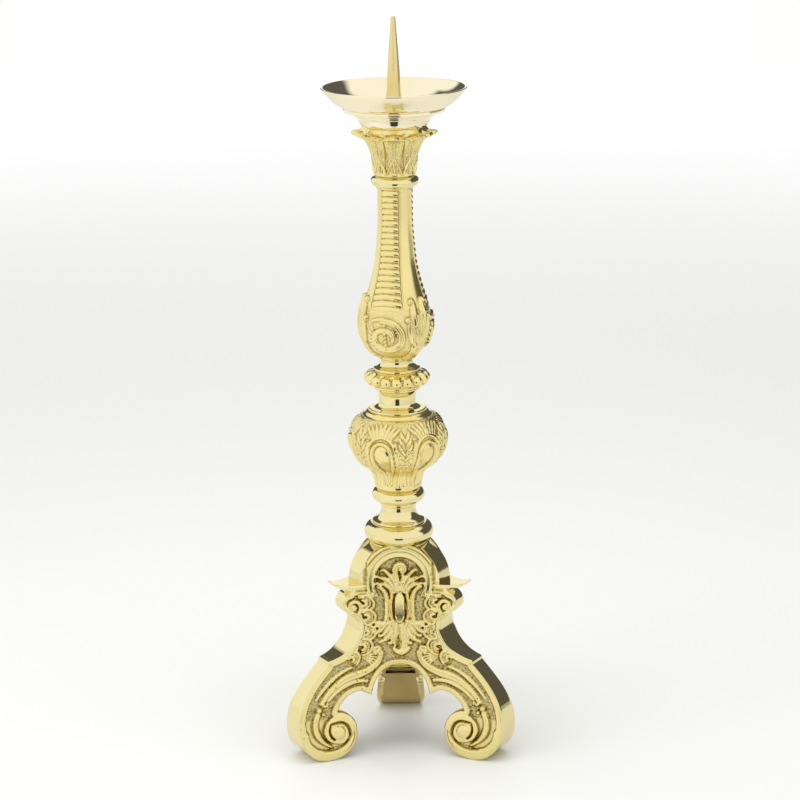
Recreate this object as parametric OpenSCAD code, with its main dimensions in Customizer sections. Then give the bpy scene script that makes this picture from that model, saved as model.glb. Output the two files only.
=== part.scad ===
// Altar candlestick: a pricket and drip pan on a turned stem, over a three-sided
// base of brass castings, all drawn together by one steel tie rod.

/* [Overall] */
// Height of the drip pan's rim above the table
rim_h = 500; // [490:1:520]
// Height of the pricket's point above the rim
spike_h = 50; // [40:1:60]
// Height of the base, up to the underside of its round collar
base_h = 159.5; // [158:0.5:161]

/* [Drip pan] */
// Radius of the pan's rim
pan_r = 52.75; // [50:0.25:56]
// Depth of the dish
pan_depth = 13; // [11:0.5:15]
// Thickness of the pan's metal
pan_t = 1.6; // [1.2:0.1:2]
// Radius of the flat floor on which the candle stands
seat_r = 34; // [32:0.5:36]

/* [Pricket] */
// Radius of the spike above its foot
spike_r = 4.7; // [4.2:0.1:5]
// Radius of the spike's blunt point
point_r = 1.7; // [1.5:0.1:2]
// Radius of the foot that clamps the pan
pricket_foot_r = 7; // [6.5:0.1:8]

/* [Stem] */
// Largest radius of the baluster's bulb
bulb_r = 26.8; // [26:0.1:27.5]
// Radius of the baluster's neck
neck_r = 12.9; // [12.4:0.1:13.4]
// Largest radius of the vase knop
vase_r = 35.7; // [35:0.1:36.5]
// Largest radius of the gadrooned ring
gadroon_r = 24.6; // [24:0.1:25.2]
// Radius of the round collar on top of the base
torus_r = 26.1; // [25.5:0.1:27]
// Radius at the tips of the capital's leaves
leaf_r = 31.6; // [31:0.1:32]
// Wall of the hollow castings
wall = 4.5; // [4:0.25:5]

/* [Base] */
// Radius of each panel's hollow front
face_r = 150; // [145:1:155]
// Distance from the axis to a panel's middle, at the table
face_d = 40.2; // [39.5:0.1:41]
// Lean of the panels towards the axis, in degrees
face_lean = 6.4; // [6:0.1:7]
// Thickness of the panel castings
panel_t = 5; // [4:0.25:5.5]
// Radius of the arch on top of each panel
arch_r = 29; // [28:0.5:30]
// Height of that arch's centre
arch_z = 133; // [132.5:0.25:133.5]
// Distance from the axis to the outside of a foot
foot_reach = 92.8; // [90:0.2:95]
// Thickness of a leg's outer band
band_t = 6; // [5:0.25:7]

/* [Tie rod] */
// Radius of the tie rod, an M6
rod_r = 3; // [3:0.1:3.2]
// Radius of the hole for it in the stem's pieces
rod_hole_r = 3.5; // [3.4:0.1:3.8]

/* [Hidden] */
$fn = 96;
eps = 0.01;

// Register that centres each piece of the stem on the one below
spigot_r = 8;
spigot_h = 2;
spigot_gap = 0.1;

// Heights of the stem's pieces
boss_h = 8.5;
torus_h = 14.2;
foot_spool_h = 15.3;
vase_ring_h = 12;
vase_h = 59.5;
lower_spool_h = 17.5;
gadroon_h = 13;
upper_spool_h = 9;
neck_ring_h = 10;
capital_h = 35;
collar_h = 13.4;

// Where each piece starts, counted up from the base and down from the rim
torus_z = base_h;
foot_spool_z = torus_z + torus_h;
vase_ring_z = foot_spool_z + foot_spool_h;
vase_z = vase_ring_z + vase_ring_h;
lower_spool_z = vase_z + vase_h;
gadroon_z = lower_spool_z + lower_spool_h;
upper_spool_z = gadroon_z + gadroon_h;
baluster_z = upper_spool_z + upper_spool_h;
floor_z = rim_h - pan_depth;
collar_z = floor_z - pan_t - collar_h;
capital_z = collar_z - capital_h;
neck_ring_z = capital_z - neck_ring_h;
baluster_h = neck_ring_z - baluster_z;
tip_z = rim_h + spike_h;

// The plate inside the base, and what clamps it
spider_top_z = base_h - boss_h - 5;
spider_t = 5;
spider_z = spider_top_z - spider_t;
hub_r = 18;
arm_w = 14;
arm_reach = 31;
screw_at = 25;
screw_r = 2.5;
screw_head_r = 4.5;
washer_r = 9;
washer_t = 1.6;
nut_across = 10;
nut_h = 5;
lock_nut_h = 3.2;
rod_low_z = spider_z - washer_t - nut_h - lock_nut_h - 3;
rod_high_z = floor_z + 22;

// The cap on each leg's shoulder, and how far it stands proud of the panels
cap_z = 131;
cap_proud = 2.4;

// Middle of each leg and of each panel, as directions seen from above
left_leg_a = 210;
right_leg_a = 330;
back_leg_a = 90;
front_panel_a = 270;
right_panel_a = 30;
left_panel_a = 150;

polished = [0.86, 0.72, 0.40];
satin = [0.80, 0.68, 0.40];
steel = [0.62, 0.63, 0.65];

// Points of a circular arc
function arc(cx, cy, r, from, to, n = 10) =
    [for (i = [0:n]) let (a = from + (to - from) * i / n) [cx + r * cos(a), cy + r * sin(a)]];

// Points of a smooth curve with two handles
function curve(p, q, s, t, n = 8) =
    [for (i = [0:n]) let (u = i / n, v = 1 - u)
        v * v * v * p + 3 * v * v * u * q + 3 * v * u * u * s + u * u * u * t];

// A turned piece from its outline, listed as [radius, height above its own foot]
module turned(z, h, outline, spigot = true, socket = true) {
    difference() {
        translate([0, 0, z]) {
            rotate_extrude() polygon(concat([[0, 0]], outline, [[0, h]]));
            if (spigot) translate([0, 0, h - eps]) cylinder(r = spigot_r, h = spigot_h + eps);
        }
        translate([0, 0, z - 1]) cylinder(r = rod_hole_r, h = h + spigot_h + 2);
        if (socket) translate([0, 0, z - eps])
            cylinder(r = spigot_r + spigot_gap, h = spigot_h + spigot_gap + eps);
    }
}

module pricket() {
    foot_h = 3;
    thread_h = rod_high_z - floor_z;
    color(polished) difference() {
        rotate_extrude() polygon(concat(
            [[0, floor_z], [pricket_foot_r, floor_z]],
            curve([pricket_foot_r, floor_z + 1], [pricket_foot_r - 1.4, floor_z + 1.6],
                  [spike_r, floor_z + foot_h], [spike_r, floor_z + 2 * foot_h]),
            curve([spike_r, floor_z + 12], [spike_r - 0.3, floor_z + 32],
                  [point_r + 0.9, tip_z - 16], [point_r, tip_z - 1.4]),
            [[point_r * 0.6, tip_z - 0.3], [0, tip_z]]));
        translate([0, 0, floor_z - 1]) cylinder(r = rod_r, h = thread_h + 1.5);
    }
}

module drip_pan() {
    lip_t = 1.1;
    color(polished) rotate_extrude() difference() {
        polygon(concat(
            [[0, floor_z - pan_t], [seat_r + 2, floor_z - pan_t]],
            curve([seat_r + 3.2, floor_z - pan_t], [seat_r + 9, floor_z + 0.5],
                  [pan_r - 5, rim_h - 7.5], [pan_r - 0.2, rim_h - lip_t]),
            [[pan_r, rim_h - 0.4], [pan_r - 0.5, rim_h]],
            curve([pan_r - 1.6, rim_h - 0.2], [pan_r - 6.5, rim_h - 6],
                  [seat_r + 7.5, floor_z + 1.6], [seat_r, floor_z]),
            [[0, floor_z]]));
        translate([0, floor_z - pan_t - 1]) square([spigot_r + spigot_gap, pan_t + 2]);
    }
}

module pan_collar() {
    step_r = 29.4;
    flange_r = 37.2;
    bowl_r = 26.3;
    color(polished) turned(collar_z, collar_h, concat(
        [[22.5, 0]],
        curve([23.6, 0.2], [25.6, 1.6], [bowl_r, 3.6], [bowl_r, 6]),
        [[bowl_r, 6.6], [step_r - 0.6, 6.9], [step_r, 7.6], [step_r, 8.8]],
        curve([step_r + 0.8, 9], [step_r + 3, 9.6], [flange_r - 2.2, 10.2], [flange_r - 0.3, 10.9]),
        [[flange_r, 11.3], [flange_r, collar_h - 0.4], [flange_r - 0.4, collar_h]]),
        spigot = false);
    // The register above fills the pan's hole
    color(polished) difference() {
        translate([0, 0, collar_z + collar_h - eps]) cylinder(r = spigot_r, h = pan_t + eps);
        translate([0, 0, collar_z]) cylinder(r = rod_hole_r, h = collar_h + 5);
    }
}

module capital() {
    color(satin) turned(capital_z, capital_h, concat(
        [[15.5, 0], [15.6, 3]],
        curve([15.6, 4], [16, 12], [17.6, 19], [20.5, 23.5]),
        curve([21.5, 24.6], [24.6, 28], [27.6, 28.4], [leaf_r - 0.9, 28.9]),
        [[leaf_r, 30.4], [leaf_r - 1.6, 32], [25, 32.4], [22.5, capital_h]]));
}

module neck_ring() {
    ring_r = 17.4;
    half = neck_ring_h / 2;
    color(polished) turned(neck_ring_z, neck_ring_h, concat(
        [[13.4, 0], [14.2, 1.1]],
        arc(ring_r - half + 1.1, half, half - 1.1, -85, 85),
        [[14.2, neck_ring_h - 1.1], [15.4, neck_ring_h]]));
}

// The baluster's outline: foot, bulb, then the long taper to the neck
function baluster_outline(h) = concat(
    [[neck_r, 0], [neck_r + 0.4, 1.2]],
    curve([neck_r + 1.2, 2.6], [18.6, 4.6], [21.6, 8], [23.2, 12], 5),
    curve([24.2, 15], [bulb_r, 20.5], [bulb_r + 0.5, 29], [bulb_r - 0.5, 34], 6),
    curve([bulb_r - 1.4, 38], [21.4, 48.6], [17.5, 60], [15.4, 73.5], 7),
    curve([15, 76.5], [13.9, 88], [neck_r, 97], [neck_r, 107], 4),
    [[neck_r, h - 2], [neck_r + 0.6, h]]);

module baluster_stem() {
    z = baluster_z;
    color(satin) difference() {
        turned(z, baluster_h, baluster_outline(baluster_h));
        translate([0, 0, z]) rotate_extrude() polygon([
            [0, 10], [11, 10], [20, 20], [bulb_r - wall, 26], [bulb_r - wall, 34],
            [16.5, 46], [11.5, 60], [8.4, 76], [8, 90], [8, baluster_h - 8], [0, baluster_h - 8]]);
    }
}

module upper_spool() {
    color(polished) turned(upper_spool_z, upper_spool_h, concat(
        [[16.4, 0], [17.1, 0.6], [17.1, 1.8]],
        curve([16, 2.4], [13.4, 3], [12, 4.6], [12, 6]),
        [[12, 7.6], [12.9, upper_spool_h]]));
}

module gadroon_ring() {
    color(satin) turned(gadroon_z, gadroon_h, concat(
        [[17.2, 0], [18, 0.8], [18, 1.9]],
        curve([19.4, 2.1], [23, 3], [gadroon_r, 5], [gadroon_r, 7.5]),
        curve([gadroon_r, 8], [gadroon_r - 0.4, 10.4], [21, 12], [17.4, 12.6]),
        [[16.6, gadroon_h]]));
}

module lower_spool() {
    color(polished) turned(lower_spool_z, lower_spool_h, concat(
        [[20.8, 0], [21.5, 0.5], [21.5, 1.7]],
        curve([20, 2.1], [16, 2.3], [13.6, 4], [13.6, 6]),
        curve([13.6, 8.5], [13.6, 12], [14.8, 15], [17, 16.6]),
        [[17.2, lower_spool_h]]));
}

function vase_outline() = concat(
    [[17, 0], [17.6, 1], [17.6, 2.4]],
    curve([17.6, 4], [18, 9], [18.8, 12.4], [21.6, 15.4], 5),
    curve([22.6, 16.4], [28, 20.4], [33.4, 25.4], [35, 32.6], 6),
    curve([vase_r - 0.1, 35.6], [vase_r + 0.8, 43], [33.4, 50.4], [28.6, 55.4], 7),
    [[26.5, 57], [24, 58.2], [21.6, vase_h]]);

module vase_knop() {
    color(satin) difference() {
        turned(vase_z, vase_h, vase_outline());
        translate([0, 0, vase_z]) rotate_extrude() polygon([
            [0, 14], [13, 14], [26, 26], [27, 30], [27, 44], [20, 53], [0, 53]]);
    }
}

module vase_ring() {
    ring_r = 19.8;
    half = vase_ring_h / 2;
    color(polished) turned(vase_ring_z, vase_ring_h, concat(
        [[13.6, 0], [15, 0.9]],
        arc(ring_r - half + 1, half, half - 1, -85, 85),
        [[15.6, vase_ring_h - 0.8], [17, vase_ring_h]]));
}

module foot_spool() {
    color(polished) turned(foot_spool_z, foot_spool_h, concat(
        [[18.9, 0], [19.4, 0.4], [19.4, 1.5]],
        curve([18.4, 2], [15, 3], [12.7, 7], [12.7, 11.8]),
        [[12.7, 13], [13.6, 13.5], [13.6, foot_spool_h]]));
}

module torus_collar() {
    half = torus_h / 2;
    color(polished) turned(torus_z, torus_h, arc(torus_r - half, half, half, -88, 88, 16));
}

module base_boss() {
    seat_h = 5;
    color(polished) turned(spider_top_z, boss_h + seat_h, concat(
        [[12, 0], [12, seat_h - 0.6], [14.6, seat_h]],
        curve([15, seat_h + 0.4], [16, seat_h + 3.4], [19, seat_h + 6.4], [22, seat_h + 7.5]),
        [[22, seat_h + boss_h]]),
        socket = false);
}

// Room in front of a panel, seen with the panel facing -Y. The panel's hollow face is
// built of flat strips under 0.1 mm off the true arc, and leans towards the axis; depth
// moves it back.
module before_face(depth) {
    strips = 24;
    reach = 37;
    side = (face_r + depth) * sin(reach);
    translate([0, -(face_d + face_r), 0]) rotate([-face_lean, 0, 0])
        translate([0, 0, -60]) linear_extrude(height = 280)
            polygon(concat(arc(0, 0, face_r + depth, 90 + reach, 90 - reach, strips),
                           [[side, 0], [-side, 0]]));
}

// Outer line of a leg, as [distance from the axis, height], from the hood at the top
// down over the shoulder roll, the waist and the lip to the scrolled foot
hood_line = curve([13.4, 160], [26, 158], [37.6, 151], [39.2, 134], 7);
shoulder_line = concat(
    [[44, cap_z], [44.8, 127.2]],
    arc(44, 118, 8, 70, -62, 8));
waist_line = concat(
    curve([46.2, 109.4], [38, 105.5], [38.4, 99], [41.6, 93], 5),
    curve([43, 90.4], [46.6, 83.5], [54, 77.6], [65.6, 75.6], 6));
shin_line = concat(
    [[66.4, 74.9]],
    curve([66.6, 72.8], [79.5, 61], [foot_reach, 47], [foot_reach, 30], 8));
foot_line = concat(
    curve([foot_reach, 27], [foot_reach, 13], [86, 0], [73, 0], 8),
    curve([67, 0], [57, 0], [48.4, 9], [48.4, 21], 8),
    curve([48.4, 23], [48.4, 30.5], [54, 36.6], [62, 36.8], 5));

// Everything inside that line below the cap. Under the foot's junction it leaves out the
// room between the feet, as far as mid_cut, so that two of these together outline a panel.
module leg_envelope() {
    mid_cut = 10;
    junction = [60.6, 41.6];
    polygon(concat([[-120, 170], [shoulder_line[0][0], 170]],
                   shoulder_line, waist_line, shin_line, foot_line,
                   [junction, [mid_cut, junction[1]], [mid_cut, -1], [-120, -1]]));
}

// The leg itself: a band with a solid foot, a shoulder and a pad for the plate
module leg_profile() {
    polygon(concat(hood_line, shoulder_line, waist_line, shin_line, foot_line,
        [[66, 40]],
        curve([76, 42], [foot_reach - band_t - 4, 42], [foot_reach - band_t - 5, 49], [78, 54], 5),
        [[64, 66.5], [60, 69.6]],
        curve([52, 71], [42, 77], [38.4, 84], [36, 90], 4),
        [[33, 98], [33, 106], [38, 118], [38, 124], [33, 130], [32, spider_top_z],
         [arm_reach - 12, spider_top_z], [17, 150], [14.5, 153]]));
}

// Stands a profile up in the plane of a leg and gives it a width on each side
module across(width) {
    rotate([90, 0, 0]) linear_extrude(height = 2 * width, center = true) children();
}

// The arched head of a panel, down to the caps
function arch_line(from, to, n) = arc(0, arch_z, arch_r, from, to, n);

// The head and sides of a panel, seen from its front as [across, height]
module panel_front() {
    dip = asin((arch_z - cap_z) / arch_r);
    polygon(concat([[-120, -1], [-120, cap_z]], arch_line(180 + dip, -dip, 24),
                   [[120, cap_z], [120, -1]]));
}

// The opening under a panel, down to the junction with the feet: a middle arch that
// meets a smaller side arch at a cusp on each side
module under_arch() {
    low_z = 39.5;
    foot_x = 45.2;
    half = concat(
        [[foot_x, low_z]],
        curve([foot_x, 41.6], [41.8, 47], [37, 51.4], [29, 51.4], 5),
        [[21.8, 47.6]],
        curve([20.4, 53], [16.5, 66], [9, 70.4], [0, 70.6], 6));
    mirrored = [for (i = [len(half) - 2:-1:0]) [-half[i][0], half[i][1]]];
    polygon(concat(half, mirrored));
}

// One panel, facing -Y: the front wall of the base from foot to foot
module panel() {
    difference() {
        intersection() {
            before_face(panel_t);
            rotate([0, 0, left_leg_a]) across(90) leg_envelope();
            rotate([0, 0, right_leg_a]) across(90) leg_envelope();
            rotate([90, 0, 0]) linear_extrude(height = 120) panel_front();
        }
        before_face(0);
        rotate([90, 0, 0]) linear_extrude(height = 120) under_arch();
    }
}

// One leg, pointing along +X, trimmed to fit between two panels
module leg() {
    difference() {
        union() {
            across(32) leg_profile();
            cap();
        }
        for (side = [-1, 1]) rotate([0, 0, 90 + 60 * side]) leg_trim();
    }
}

// What a leg leaves free for the panel next to it: all in front of the panel's back up
// to the cap, the arched head, and the cap's own overhang
module leg_trim() {
    intersection() {
        before_face(panel_t);
        rotate([90, 0, 0]) linear_extrude(height = 120) panel_front();
    }
    before_face(-cap_proud);
}

// The square cap on the shoulder, thin at its upturned edge
module cap() {
    across(32) polygon([[36, cap_z], [54, cap_z], [57.4, cap_z + 1.4], [58.6, cap_z + 3.6],
                        [55.6, cap_z + 2.7], [36, cap_z + 2.6]]);
}

module left_leg() { color(satin) rotate([0, 0, left_leg_a]) leg(); }
module right_leg() { color(satin) rotate([0, 0, right_leg_a]) leg(); }
module back_leg() { color(satin) rotate([0, 0, back_leg_a]) leg(); }
module front_panel() { color(satin) panel(); }
module right_panel() { color(satin) rotate([0, 0, right_panel_a + 90]) panel(); }
module left_panel() { color(satin) rotate([0, 0, left_panel_a + 90]) panel(); }

// The plate inside the base that the rod pulls against
module spider_plate() {
    color(steel) difference() {
        translate([0, 0, spider_z]) {
            cylinder(r = hub_r, h = spider_t);
            for (a = [left_leg_a, right_leg_a, back_leg_a]) rotate([0, 0, a])
                translate([0, -arm_w / 2, 0]) cube([arm_reach, arm_w, spider_t]);
        }
        translate([0, 0, spider_z - 1]) cylinder(r = rod_hole_r, h = spider_t + 2);
        for (a = [left_leg_a, right_leg_a, back_leg_a]) rotate([0, 0, a])
            translate([screw_at, 0, spider_z - 1]) cylinder(r = screw_r, h = spider_t + 2);
    }
}

module spider_screws() {
    head_h = 3;
    color(steel) for (a = [left_leg_a, right_leg_a, back_leg_a]) rotate([0, 0, a])
        translate([screw_at, 0, spider_z]) {
            cylinder(r = screw_r, h = spider_t);
            translate([0, 0, -head_h]) difference() {
                cylinder(r = screw_head_r, h = head_h);
                translate([-screw_head_r - 1, -0.6, -eps]) cube([2 * screw_head_r + 2, 1.2, 1.2]);
            }
        }
}

module tie_rod() {
    color(steel) translate([0, 0, rod_low_z]) cylinder(r = rod_r, h = rod_high_z - rod_low_z);
}

module rod_washer() {
    color(steel) translate([0, 0, spider_z - washer_t]) difference() {
        cylinder(r = washer_r, h = washer_t);
        translate([0, 0, -1]) cylinder(r = rod_r + 0.2, h = washer_t + 2);
    }
}

// A six-sided nut, cored to fit the rod
module hex_nut(z, h) {
    translate([0, 0, z]) difference() {
        cylinder(d = nut_across / cos(30), h = h, $fn = 6);
        translate([0, 0, -1]) cylinder(r = rod_r, h = h + 2);
    }
}

module rod_nut() { color(steel) hex_nut(spider_z - washer_t - nut_h, nut_h); }
module lock_nut() { color(steel) hex_nut(spider_z - washer_t - nut_h - lock_nut_h, lock_nut_h); }

pricket();
drip_pan();
pan_collar();
capital();
neck_ring();
baluster_stem();
upper_spool();
gadroon_ring();
lower_spool();
vase_knop();
vase_ring();
foot_spool();
torus_collar();
base_boss();
spider_plate();
front_panel();
left_panel();
right_panel();
left_leg();
right_leg();
back_leg();
tie_rod();
rod_washer();
rod_nut();
lock_nut();
spider_screws();
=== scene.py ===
import math

import bpy
import numpy as np
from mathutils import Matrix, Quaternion, Vector


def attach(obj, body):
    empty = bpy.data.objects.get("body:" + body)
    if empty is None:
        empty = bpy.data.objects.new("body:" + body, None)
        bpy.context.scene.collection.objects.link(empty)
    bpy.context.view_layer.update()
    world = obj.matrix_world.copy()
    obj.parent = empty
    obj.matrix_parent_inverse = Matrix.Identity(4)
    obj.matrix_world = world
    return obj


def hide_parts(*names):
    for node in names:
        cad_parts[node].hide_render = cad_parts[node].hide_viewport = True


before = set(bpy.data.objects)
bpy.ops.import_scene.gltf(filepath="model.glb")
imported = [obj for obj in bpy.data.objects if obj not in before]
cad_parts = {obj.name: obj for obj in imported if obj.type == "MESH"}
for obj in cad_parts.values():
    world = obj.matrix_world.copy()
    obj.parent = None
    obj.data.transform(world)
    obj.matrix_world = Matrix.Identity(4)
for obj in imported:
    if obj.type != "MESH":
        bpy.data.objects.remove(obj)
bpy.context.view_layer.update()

millimetre = 0.001  # outlines and reliefs are drawn in millimetres


def arc(cx, cy, radius, start, end, count=10):
    angles = np.radians(np.linspace(start, end, count + 1))
    return [(cx + radius * math.cos(a), cy + radius * math.sin(a)) for a in angles]


def curve(a, b, c, d, count=10):  # a to d, with b and c as its handles
    t = np.linspace(0, 1, count + 1)[:, None]
    a, b, c, d = (np.array(p, float) for p in (a, b, c, d))
    points = (1 - t) ** 3 * a + 3 * (1 - t) ** 2 * t * b + 3 * (1 - t) * t ** 2 * c + t ** 3 * d
    return [tuple(p) for p in points]


def sided(side, a, b, c, d, count=10):  # a curve that is mirrored where side is -1
    return curve(*((side * x, z) for x, z in (a, b, c, d)), count)


def tidyLine(points, gap=0.02):  # drops points that repeat
    kept = [points[0]]
    for p in points[1:]:
        if math.dist(p, kept[-1]) > gap:
            kept.append(p)
    return kept


def softened(points, radius=0.35, corner=16, steps=4):  # rounds the sharp corners of an outline
    points = tidyLine(points)
    result = [points[0]]
    for before, here, after in zip(points, points[1:], points[2:]):
        into = Vector(here) - Vector(before)
        out = Vector(after) - Vector(here)
        turn = math.degrees(into.angle(out))
        if turn < corner:
            result.append(here)
            continue
        reach = min(radius * math.tan(math.radians(turn) / 2) + 0.05, into.length * 0.45, out.length * 0.45)
        start = Vector(here) - into.normalized() * reach
        end = Vector(here) + out.normalized() * reach
        for i in range(steps + 1):
            t = i / steps
            p = start * (1 - t) ** 2 + Vector(here) * 2 * t * (1 - t) + end * t ** 2
            result.append((p.x, p.y))
    result.append(points[-1])
    return result


def resampled(points, spacing):  # points at even steps along the line
    points = np.array(points, float)
    lengths = np.hypot(*np.diff(points, axis=0).T)
    along = np.concatenate([[0], np.cumsum(lengths)])
    count = max(2, int(round(along[-1] / spacing)) + 1)
    steps = np.linspace(0, along[-1], count)
    return np.stack([np.interp(steps, along, points[:, 0]), np.interp(steps, along, points[:, 1])], 1)


def sideDistance(polygon, x, y):  # distance to a closed outline, positive inside it
    shape = x.shape
    px, py = x.ravel(), y.ravel()
    best = np.full(px.size, 1e9)
    inside = np.zeros(px.size, bool)
    corners = np.array(polygon, float)
    for (ax, ay), (bx, by) in zip(corners, np.roll(corners, -1, axis=0)):
        dx, dy = bx - ax, by - ay
        length = dx * dx + dy * dy
        if length < 1e-12:
            continue
        t = np.clip(((px - ax) * dx + (py - ay) * dy) / length, 0, 1)
        best = np.minimum(best, (px - ax - t * dx) ** 2 + (py - ay - t * dy) ** 2)
        crosses = (ay > py) != (by > py)
        if ay != by:
            inside ^= crosses & (px < ax + (py - ay) * dx / dy)
    distance = np.sqrt(best)
    return np.where(inside, distance, -distance).reshape(shape)


def addPiece(name, points, faces, material, replaces=(), slot=None, sharp=40, values=None):
    mesh = bpy.data.meshes.new(name)
    mesh.from_pydata((np.array(points, float) * millimetre).tolist(), [], faces)
    mesh.validate()
    for label, amounts in (values or {}).items():
        layer = mesh.attributes.new(label, "FLOAT", "POINT")
        layer.data.foreach_set("value", np.asarray(amounts, np.float32))
    mesh.materials.append(material)
    mesh.polygons.foreach_set("use_smooth", [True] * len(mesh.polygons))
    if sharp < 180:
        mesh.set_sharp_from_angle(angle=math.radians(sharp))
    piece = bpy.data.objects.new(name, mesh)
    bpy.context.scene.collection.objects.link(piece)
    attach(piece, "root")
    if replaces:
        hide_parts(*replaces)
    return piece


def gridFaces(rows, columns, closeRows=False, closeColumns=False, flip=False):
    faces = []
    for i in range(rows if closeRows else rows - 1):
        for j in range(columns if closeColumns else columns - 1):
            a, b = i * columns + j, i * columns + (j + 1) % columns
            c = ((i + 1) % rows) * columns + (j + 1) % columns
            d = ((i + 1) % rows) * columns + j
            faces.append((a, d, c, b) if flip else (a, b, c, d))
    return faces


def lathe(name, outline, low, material, turns=144, soften=0.35, bore=3.5, **kept):
    # turns an outline of (radius, height above low) about the axis, closed round its bore
    ring = [(bore, outline[0][1])] + list(outline) + [(bore, outline[-1][1])]
    ring = np.array(tidyLine(softened(ring, soften) if soften else ring))
    angles = np.linspace(0, 2 * math.pi, turns, endpoint=False)
    points = [(r * math.cos(a), r * math.sin(a), z + low) for r, z in ring for a in angles]
    faces = gridFaces(len(ring), turns, closeRows=True, closeColumns=True)
    return addPiece(name, points, faces, material, **kept)


def blurred(field, rounds):
    for _ in range(rounds):
        wide = np.pad(field, 1, mode="edge")
        field = (wide[:-2, 1:-1] + wide[2:, 1:-1] + wide[1:-1, :-2] + wide[1:-1, 2:] + 4 * field) / 8
    return field


def smooth(low, high, value):
    t = np.clip((value - low) / (high - low), 0, 1)
    return t * t * (3 - 2 * t)


class Relief:
    # a sheet with a height at each point, on which ridges, beads and grooves are drawn
    def __init__(self, across, up, ground):
        self.x, self.y = across, up
        self.h = np.full(across.shape, float(ground))
        self.shine = np.zeros(across.shape)
        self.ground = ground

    def near(self, points, reach):
        low, high = points.min(0) - reach, points.max(0) + reach
        inside = (self.x > low[0]) & (self.x < high[0]) & (self.y > low[1]) & (self.y < high[1])
        return np.nonzero(inside)

    def along(self, points, where):  # signed distance from a line, and how far along it, from 0 to 1
        px, py = self.x[where], self.y[where]
        lengths = np.hypot(*np.diff(points, axis=0).T)
        total = lengths.sum()
        best = np.full(px.shape, 1e9)
        side = np.zeros(px.shape)
        place = np.zeros(px.shape)
        start = 0.0
        for (ax, ay), (bx, by), length in zip(points[:-1], points[1:], lengths):
            dx, dy = (bx - ax) / length, (by - ay) / length
            t = np.clip((px - ax) * dx + (py - ay) * dy, 0, length)
            ox, oy = px - ax - t * dx, py - ay - t * dy
            distance = np.hypot(ox, oy)
            closer = distance < best
            best = np.where(closer, distance, best)
            side = np.where(closer, np.sign(dx * oy - dy * ox), side)
            place = np.where(closer, (start + t) / total, place)
            start += length
        return best * np.where(side == 0, 1, side), place

    def raiseTo(self, where, value, shine=0.0):
        higher = value > self.h[where]
        self.h[where] = np.where(higher, value, self.h[where])
        self.shine[where] = np.where(higher, shine, self.shine[where])

    def ridge(self, points, width, height, base=None, shine=0.5, crease=0.0, veins=0):
        # a rounded ridge along a line; width and height are (start, middle, end)
        points = np.array(points, float)
        base = self.ground if base is None else base
        where = self.near(points, max(width) + 0.5)
        side, place = self.along(points, where)
        wide = np.interp(place, (0, 0.5, 1), width)
        tall = np.interp(place, (0, 0.5, 1), height)
        q = side / np.maximum(wide, 0.05)
        body = np.sqrt(np.clip(1 - q * q, 0, 1))
        if veins:
            body = body ** 0.8 - 0.13 * (1 - np.cos(2 * math.pi * veins * q)) * smooth(0, 0.15, place)
        if crease:
            body = body - crease * np.exp(-(q / 0.22) ** 2)
        value = np.where(np.abs(q) < 1, base + tall * body, -99)
        self.raiseTo(where, value, shine)

    def bead(self, x, y, radius, height, base=None, shine=0.8):
        base = self.ground if base is None else base
        where = self.near(np.array([(x, y)], float), radius + 0.3)
        q = np.hypot(self.x[where] - x, self.y[where] - y) / radius
        dome = np.sqrt(np.clip(1 - q * q, 0, 1))
        self.raiseTo(where, np.where(q < 1, base + height * dome, -99), shine)

    def groove(self, points, width, depth):
        points = np.array(points, float)
        where = self.near(points, max(width) + 0.3)
        side, place = self.along(points, where)
        wide = np.maximum(np.interp(place, (0, 0.5, 1), width), 0.05)
        q = side / wide
        self.h[where] -= np.where(np.abs(q) < 1, depth * np.clip(1 - q * q, 0, 1), 0)

    def scroll(self, x, y, start, end, fromAngle, turn, width, height, eye=0.0, **kept):
        # a ridge that winds in from radius start to radius end
        t = np.linspace(0, 1, max(12, int(abs(turn) / 12)))
        radius = start * (end / start) ** t
        angle = np.radians(fromAngle + turn * t)
        points = np.stack([x + radius * np.cos(angle), y + radius * np.sin(angle)], 1)
        self.ridge(points, width, height, **kept)
        if eye:
            self.bead(x, y, eye, height[2] * 1.25)


def addNode(tree, kind, inputs=None, **settings):  # each input is a value, or the socket that feeds it
    node = tree.nodes.new("ShaderNode" + kind)
    for name, value in settings.items():
        setattr(node, name, value)
    for name, value in (inputs or {}).items():
        if isinstance(value, bpy.types.NodeSocket):
            tree.links.new(value, node.inputs[name])
        else:
            node.inputs[name].default_value = value
    return node


def calculate(tree, operation, *values, clamp=False):
    return addNode(tree, "Math", dict(enumerate(values)), operation=operation, use_clamp=clamp).outputs[0]


def mixColours(tree, factor, first, second):
    inputs = {"Factor": factor, "A": first, "B": second}
    return addNode(tree, "Mix", inputs, data_type="RGBA").outputs["Result"]


def ramp(tree, value, low, high, first=0.0, last=1.0, kind="SMOOTHSTEP"):
    inputs = {"Value": value, "From Min": low, "From Max": high, "To Min": first, "To Max": last}
    return addNode(tree, "MapRange", inputs, interpolation_type=kind).outputs[0]


def newGroup(name, inputs, outputs):
    tree = bpy.data.node_groups.new(name, "ShaderNodeTree")
    for label, value in inputs.items():
        socket = tree.interface.new_socket(name=label, in_out="INPUT", socket_type="NodeSocketFloat")
        socket.default_value = value
    for label in outputs:
        tree.interface.new_socket(name=label, in_out="OUTPUT", socket_type="NodeSocketFloat")
    return tree, tree.nodes.new("NodeGroupInput").outputs, tree.nodes.new("NodeGroupOutput").inputs


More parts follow.
